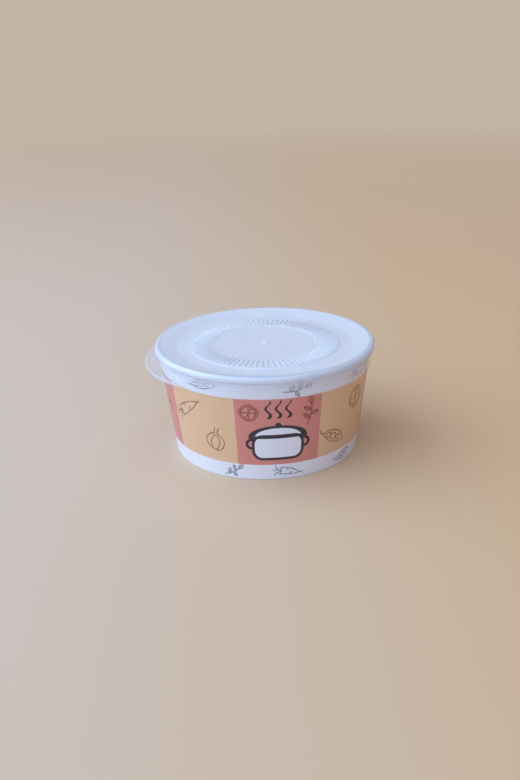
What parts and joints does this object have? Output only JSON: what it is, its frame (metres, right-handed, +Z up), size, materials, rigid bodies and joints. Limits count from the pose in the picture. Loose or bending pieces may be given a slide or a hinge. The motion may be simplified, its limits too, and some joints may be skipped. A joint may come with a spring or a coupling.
{
  "type": "lidded soup bowl",
  "caption": "Round white plastic soup bowl with a tapered printed wall, closed by a clear push-fit lid with a ribbed panel, a skirt and a thumb tab.",
  "frame": {"origin": "centre of the circle on which the bowl's foot ring stands", "axes": "+Z up along the bowl's axis, -X towards the lid's thumb tab"},
  "size_m": [0.117, 0.11, 0.0552],
  "materials": {
    "bowl_plastic": "smooth white moulded polypropylene with a printed wall, low gloss",
    "lid_plastic": "natural translucent moulded polypropylene, smooth and glossy"
  },
  "bodies": {
    "bowl": {"bowl": "bowl_plastic"},
    "lid": {"lid": "lid_plastic"}
  },
  "joints": [
    {"name": "lid_lift", "type": "slide", "parent": "bowl", "child": "lid", "axis": [0, 0, 1], "range_m": [0, 0.08]}
  ]
}
